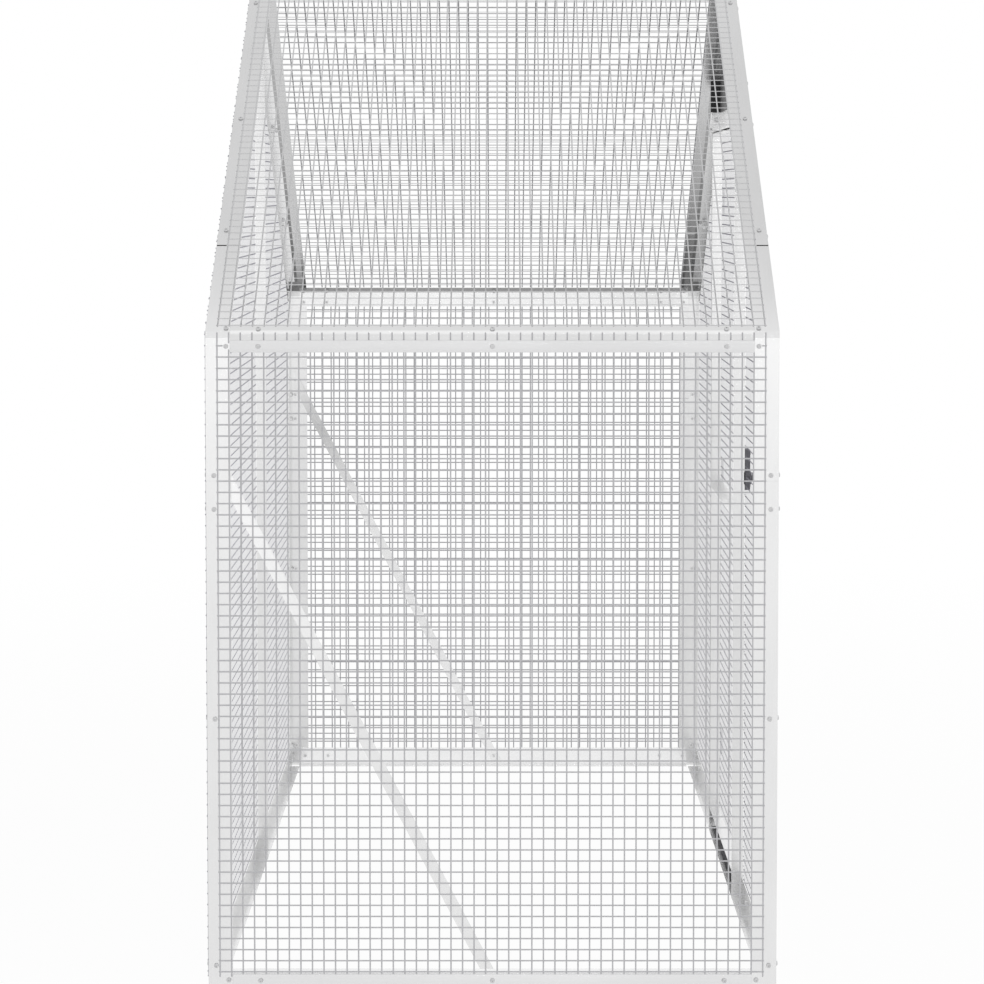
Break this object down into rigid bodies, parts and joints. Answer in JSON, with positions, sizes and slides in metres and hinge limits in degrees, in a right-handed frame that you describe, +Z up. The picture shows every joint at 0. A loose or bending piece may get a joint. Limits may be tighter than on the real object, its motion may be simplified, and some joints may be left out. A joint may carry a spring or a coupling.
{
  "type": "walk-in aviary",
  "caption": "Walk-in gable-roofed aviary of aluminium angle clad in welded wire mesh, open at the floor, with a hinged mesh door and a slide latch in one gable.",
  "frame": {"origin": "on the floor, under the middle of the frame", "axes": "+Z up, -Y out of the front wall, +X out of the gable with the door; the ridge runs along X"},
  "size_m": [1.2626, 2.4552, 2.287],
  "materials": {
    "aluminium_angle": "mill-finish satin",
    "galvanised_mesh": "galvanised",
    "zinc_fasteners": "zinc plated",
    "black_plastic": "matte",
    "dark_sheet": "satin"
  },
  "bodies": {
    "frame": {"apex_panel": "dark_sheet", "base_rail_front": "aluminium_angle", "base_rail_left": "aluminium_angle", "base_rail_rear": "aluminium_angle", "base_rail_right": "aluminium_angle", "base_strips": "aluminium_angle", "brace_front": "aluminium_angle", "brace_rear": "aluminium_angle", "door_jamb_front": "aluminium_angle", "door_jamb_rear": "aluminium_angle", "door_lintel": "aluminium_angle", "door_sill": "black_plastic", "eave_rail_front": "aluminium_angle", "eave_rail_rear": "aluminium_angle", "eave_strips": "aluminium_angle", "frame_bolts": "zinc_fasteners", "frame_nuts": "zinc_fasteners", "frame_rivets": "zinc_fasteners", "hinge_jamb_leaves": "zinc_fasteners", "hinge_pins": "zinc_fasteners", "king_post": "aluminium_angle", "latch_keeper": "black_plastic", "net_front": "galvanised_mesh", "net_left": "galvanised_mesh", "net_rear": "galvanised_mesh", "net_right_front": "galvanised_mesh", "net_right_rear": "galvanised_mesh", "net_roof_front": "galvanised_mesh", "net_roof_rear": "galvanised_mesh", "post_front_left_lower": "aluminium_angle", "post_front_left_upper": "aluminium_angle", "post_front_right_lower": "aluminium_angle", "post_front_right_upper": "aluminium_angle", "post_liners": "aluminium_angle", "post_rear_left_lower": "aluminium_angle", "post_rear_left_upper": "aluminium_angle", "post_rear_right_lower": "aluminium_angle", "post_rear_right_upper": "aluminium_angle", "rafter_front_left_lower": "aluminium_angle", "rafter_front_left_upper": "aluminium_angle", "rafter_front_right_lower": "aluminium_angle", "rafter_front_right_upper": "aluminium_angle", "rafter_liners": "aluminium_angle", "rafter_rear_left_lower": "aluminium_angle", "rafter_rear_left_upper": "aluminium_angle", "rafter_rear_right_lower": "aluminium_angle", "rafter_rear_right_upper": "aluminium_angle", "ridge_rail": "aluminium_angle"},
    "door": {"door_bottom_rail": "aluminium_angle", "door_hinge_stile": "aluminium_angle", "door_latch_stile": "aluminium_angle", "door_mid_rail": "aluminium_angle", "door_rivets": "zinc_fasteners", "door_top_rail": "aluminium_angle", "hinge_door_leaves": "zinc_fasteners", "latch_case": "black_plastic", "net_door": "galvanised_mesh"},
    "latch": {"latch_bolt": "black_plastic"}
  },
  "joints": [
    {"name": "door_swing", "type": "hinge", "parent": "frame", "child": "door", "pos_m": [0.621, 0.381, 1], "axis": [0, 0, 1], "range_deg": [0, 110]},
    {"name": "latch_bolt_slide", "type": "slide", "parent": "door", "child": "latch", "axis": [0, -1, 0], "range_m": [0, 0.014]}
  ]
}
